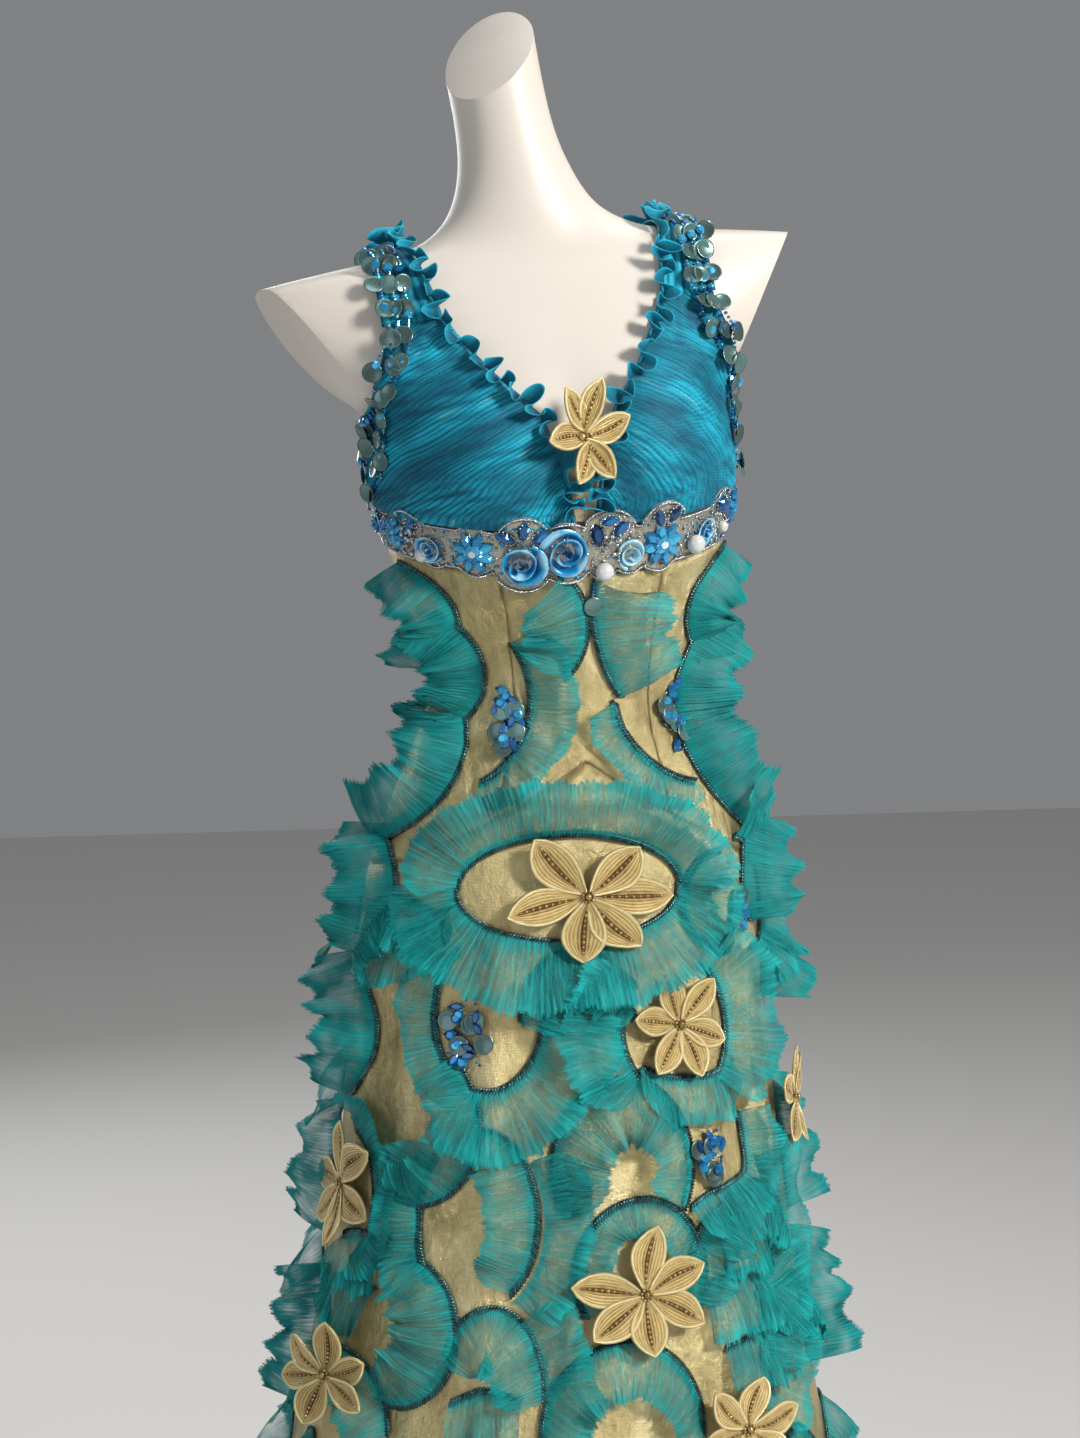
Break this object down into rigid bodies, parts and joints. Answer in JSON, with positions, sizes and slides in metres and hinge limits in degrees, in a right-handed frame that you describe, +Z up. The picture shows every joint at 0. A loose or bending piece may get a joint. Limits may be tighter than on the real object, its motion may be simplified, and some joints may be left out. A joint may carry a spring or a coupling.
{
  "type": "prom dress on a limbless dress form",
  "caption": "Floor-length gold satin prom dress with teal organza frills, gold flowers and a jewelled band, standing on a limbless dress form with pole and round base.",
  "frame": {"origin": "on the floor, under the middle of the round base", "axes": "+Z up, the form faces -Y, the wearer's left is at +X"},
  "size_m": [0.6684, 0.6642, 1.6383],
  "materials": {
    "gold_satin": "champagne gold satin with a metallic sheen",
    "teal_chiffon": "pleated crinkle chiffon",
    "teal_organza": "sheer pleated organza with a frayed edge",
    "silver_braid": "beaded silver braid and blue satin trim",
    "gilt_thread": "gold embroidered applique",
    "nude_mesh": "fine nude mesh",
    "white_lacquer": "off-white satin-gloss shell",
    "white_steel": "off-white powder coat",
    "zip_metal": "pale gold metal",
    "zip_tape_cloth": "woven zip tape"
  },
  "bodies": {
    "dress": {"back_yoke_left": "teal_chiffon", "back_yoke_right": "teal_chiffon", "band_back_left": "silver_braid", "band_back_right": "silver_braid", "band_front": "silver_braid", "centre_insert": "nude_mesh", "cup_left": "teal_chiffon", "cup_right": "teal_chiffon", "flower_back_left": "gilt_thread", "flower_back_right": "gilt_thread", "flower_bust": "gilt_thread", "flower_hip": "gilt_thread", "flower_lower": "gilt_thread", "flower_outer_left": "gilt_thread", "flower_right": "gilt_thread", "flower_thigh_left": "gilt_thread", "form_body": "white_lacquer", "frill_arch_left": "teal_organza", "frill_ball_right": "teal_organza", "frill_big_arch": "teal_organza", "frill_bodice_left": "teal_organza", "frill_bodice_low": "teal_organza", "frill_bodice_right": "teal_organza", "frill_bottom_arch": "teal_organza", "frill_hip_bottom": "teal_organza", "frill_hip_left": "teal_organza", "frill_hip_top": "teal_organza", "frill_low_ball_right": "teal_organza", "frill_lower_arch": "teal_organza", "frill_outer_left": "teal_organza", "frill_row_back_left_1": "teal_organza", "frill_row_back_left_2": "teal_organza", "frill_row_back_left_3": "teal_organza", "frill_row_back_right_1": "teal_organza", "frill_row_back_right_2": "teal_organza", "frill_row_back_right_3": "teal_organza", "frill_row_front_lower": "teal_organza", "frill_row_front_upper": "teal_organza", "frill_side_left": "teal_organza", "frill_side_right": "teal_organza", "frill_thigh_left": "teal_organza", "frill_thigh_right": "teal_organza", "frill_underarm_right": "teal_organza", "midriff_back_left": "gold_satin", "midriff_back_right": "gold_satin", "midriff_centre": "gold_satin", "midriff_side_left": "gold_satin", "midriff_side_right": "gold_satin", "neck_frill_left": "teal_organza", "neck_frill_right": "teal_organza", "skirt_back_left": "gold_satin", "skirt_back_right": "gold_satin", "skirt_front": "gold_satin", "stand_base": "white_steel", "stand_pole": "white_steel", "strap_left": "teal_chiffon", "strap_right": "teal_chiffon", "zip_slider": "zip_metal", "zip_tape": "zip_tape_cloth"},
    "pull": {"zip_pull": "zip_metal"}
  },
  "joints": [
    {"name": "zip_pull_hinge", "type": "hinge", "parent": "dress", "child": "pull", "pos_m": [-0.00725, 0.10287, 1.23642], "axis": [0.9968, 0.0002, 0.0804], "range_deg": [0, 165]}
  ]
}
